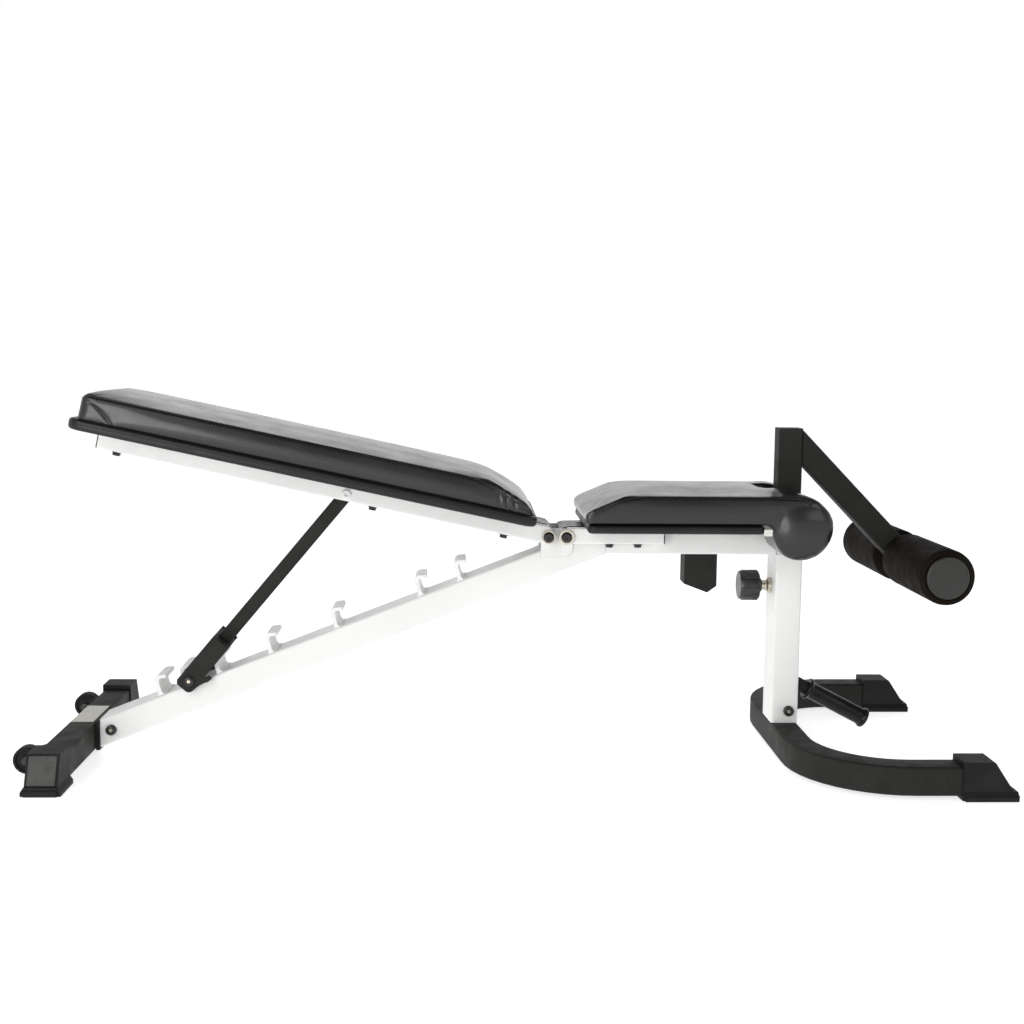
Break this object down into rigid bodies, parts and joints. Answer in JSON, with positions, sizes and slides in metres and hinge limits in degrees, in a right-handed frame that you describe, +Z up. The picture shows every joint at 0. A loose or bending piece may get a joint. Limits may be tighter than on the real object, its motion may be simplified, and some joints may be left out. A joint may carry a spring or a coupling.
{
  "type": "adjustable weight bench",
  "caption": "Adjustable exercise bench with tilting padded back and seat, hook ladder, foam-roller leg hold-down, wheels and lift handle.",
  "frame": {"origin": "on the floor, under the middle of the bench", "axes": "+Z up, +X to the front (leg hold-down end), +Y to the left of a person seated facing the front"},
  "size_m": [1.732, 0.6552, 0.6794],
  "materials": {
    "white_frame": "satin white powder coat",
    "black_frame": "fine-textured black powder coat",
    "vinyl": "semi-gloss black upholstery vinyl over foam",
    "wrapped_board": "plywood wrapped in satin black vinyl",
    "foam": "matte closed-cell foam",
    "black_rubber": "satin moulded rubber",
    "moulded_plastic": "fine-grained moulded plastic",
    "bright_steel": "zinc-plated steel",
    "black_fastener": "black oxide steel"
  },
  "bodies": {
    "frame": {"sloping_beam": "white_frame", "seat_beam": "white_frame", "front_post": "white_frame", "back_hook_1": "white_frame", "back_hook_2": "white_frame", "back_hook_3": "white_frame", "back_hook_4": "white_frame", "back_hook_5": "white_frame", "back_hook_6": "white_frame", "back_hook_7": "white_frame", "hinge_bracket_near": "white_frame", "hinge_bracket_far": "white_frame", "back_hinge_bolt": "bright_steel", "seat_hinge_bolt": "bright_steel", "rear_cross_tube": "black_frame", "rear_stub": "black_frame", "rear_joint_bolt": "black_fastener", "rear_foot_cap_near": "black_rubber", "rear_foot_cap_far": "black_rubber", "wheel_ear_near": "black_frame", "wheel_ear_far": "black_frame", "wheel_axle_near": "black_fastener", "wheel_axle_far": "black_fastener", "front_foot_tube": "black_frame", "front_stub": "black_frame", "front_joint_bolt": "black_fastener", "front_foot_cap_near": "black_rubber", "front_foot_cap_far": "black_rubber", "lift_handle_bar": "black_frame", "lift_handle_grip": "black_rubber", "guide_bush_near": "moulded_plastic", "guide_bush_far": "moulded_plastic", "pin_housing": "bright_steel", "pin_spring": "bright_steel"},
    "back_rest": {"back_rail_near": "white_frame", "back_rail_far": "white_frame", "back_board": "wrapped_board", "back_pad": "vinyl", "back_hinge_cover": "black_frame", "strut_pivot_bolt": "bright_steel"},
    "strut": {"strut_bar": "black_frame", "strut_yoke": "black_frame", "strut_pin": "black_fastener"},
    "seat": {"seat_rail_near": "white_frame", "seat_rail_far": "white_frame", "seat_board": "wrapped_board", "seat_pad": "vinyl", "seat_prop": "black_frame", "seat_hinge_cover": "black_frame"},
    "hold_down": {"hold_down_tube": "black_frame", "hold_down_arm": "black_frame", "roller_axle": "bright_steel"},
    "roller_near": {"foam_roller_near": "foam", "roller_disc_near": "moulded_plastic"},
    "roller_far": {"foam_roller_far": "foam", "roller_disc_far": "moulded_plastic"},
    "pull_pin": {"pin_plunger": "bright_steel", "pin_knob": "moulded_plastic"},
    "wheel_near": {"transport_wheel_near": "black_rubber"},
    "wheel_far": {"transport_wheel_far": "black_rubber"}
  },
  "joints": [
    {"name": "back_tilt", "type": "hinge", "parent": "frame", "child": "back_rest", "pos_m": [0.074, 0, 0.4145], "axis": [0, 1, 0], "range_deg": [0, 69]},
    {"name": "strut_swing", "type": "hinge", "parent": "back_rest", "child": "strut", "pos_m": [-0.29533, 0, 0.49166], "axis": [0, -1, 0], "range_deg": [0, 86.75]},
    {"name": "seat_tilt", "type": "hinge", "parent": "frame", "child": "seat", "pos_m": [0.107, 0, 0.4145], "axis": [0, -1, 0], "range_deg": [0, 10]},
    {"name": "hold_down_slide", "type": "slide", "parent": "frame", "child": "hold_down", "axis": [0, 0, 1], "range_m": [-0.03, 0.09]},
    {"name": "roller_spin_near", "type": "hinge", "parent": "hold_down", "child": "roller_near", "pos_m": [0.7535, -0.134, 0.3705], "axis": [0, 1, 0], "continuous": true},
    {"name": "roller_spin_far", "type": "hinge", "parent": "hold_down", "child": "roller_far", "pos_m": [0.7535, 0.134, 0.3705], "axis": [0, 1, 0], "continuous": true},
    {"name": "pin_pull", "type": "slide", "parent": "frame", "child": "pull_pin", "axis": [-1, 0, 0], "range_m": [0, 0.01], "stiffness_N_per_m": 1200, "springref_m": -0.008, "deforming": ["pin_spring"]},
    {"name": "wheel_spin_near", "type": "hinge", "parent": "frame", "child": "wheel_near", "pos_m": [-0.842, -0.188, 0.034], "axis": [0, 1, 0], "continuous": true},
    {"name": "wheel_spin_far", "type": "hinge", "parent": "frame", "child": "wheel_far", "pos_m": [-0.842, 0.188, 0.034], "axis": [0, 1, 0], "continuous": true}
  ],
  "couplings": [
    {"joint": "strut_swing", "follows": "back_tilt", "ratio": 1.25}
  ]
}
